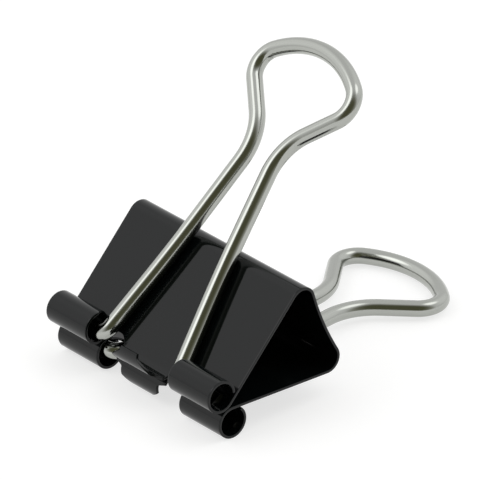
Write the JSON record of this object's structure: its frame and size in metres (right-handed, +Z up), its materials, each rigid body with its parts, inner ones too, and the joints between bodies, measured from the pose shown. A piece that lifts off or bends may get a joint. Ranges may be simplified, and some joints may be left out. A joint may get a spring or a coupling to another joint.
{
  "type": "fold-back clip",
  "caption": "Small fold-back paper clip: a black spring-steel strip folded to a triangle with rolled edges, and pivoting bent-wire handles that fold flat along its jaws.",
  "frame": {"origin": "on the table, under the middle of the clip's outline as it lies with both handles folded back", "axes": "+X along the clip's width, +Y from the mouth toward the back and the handle loops, +Z up from the table; the middle plane of the clip slopes up 21.8 degrees toward +Y"},
  "size_m": [0.019, 0.029, 0.0229],
  "materials": {
    "black_enamel": "satin-gloss black enamel on spring steel",
    "nickel_wire": "bright nickel plate on steel wire"
  },
  "bodies": {
    "back": {"back": "black_enamel"},
    "upper_jaw": {"upper_jaw": "black_enamel"},
    "lower_jaw": {"lower_jaw": "black_enamel"},
    "upper_handle": {"upper_handle": "nickel_wire"},
    "lower_handle": {"lower_handle": "nickel_wire"}
  },
  "joints": [
    {"name": "upper_jaw_bend", "type": "hinge", "parent": "back", "child": "upper_jaw", "pos_m": [0, -0.0053, 0.00877], "axis": [-1, 0, 0], "range_deg": [0, 24], "stiffness_Nm_per_rad": 1},
    {"name": "lower_jaw_bend", "type": "hinge", "parent": "back", "child": "lower_jaw", "pos_m": [0, -0.00305, 0.00314], "axis": [1, 0, 0], "range_deg": [0, 24]},
    {"name": "upper_handle_pivot", "type": "hinge", "parent": "upper_jaw", "child": "upper_handle", "pos_m": [0, -0.0131, 0.00342], "axis": [1, 0, 0], "range_deg": [0, 156]},
    {"name": "lower_handle_pivot", "type": "hinge", "parent": "lower_jaw", "child": "lower_handle", "pos_m": [0, -0.01238, 0.00163], "axis": [-1, 0, 0], "range_deg": [0, 156]}
  ],
  "couplings": [
    {"joint": "lower_jaw_bend", "follows": "upper_jaw_bend", "ratio": 1}
  ]
}
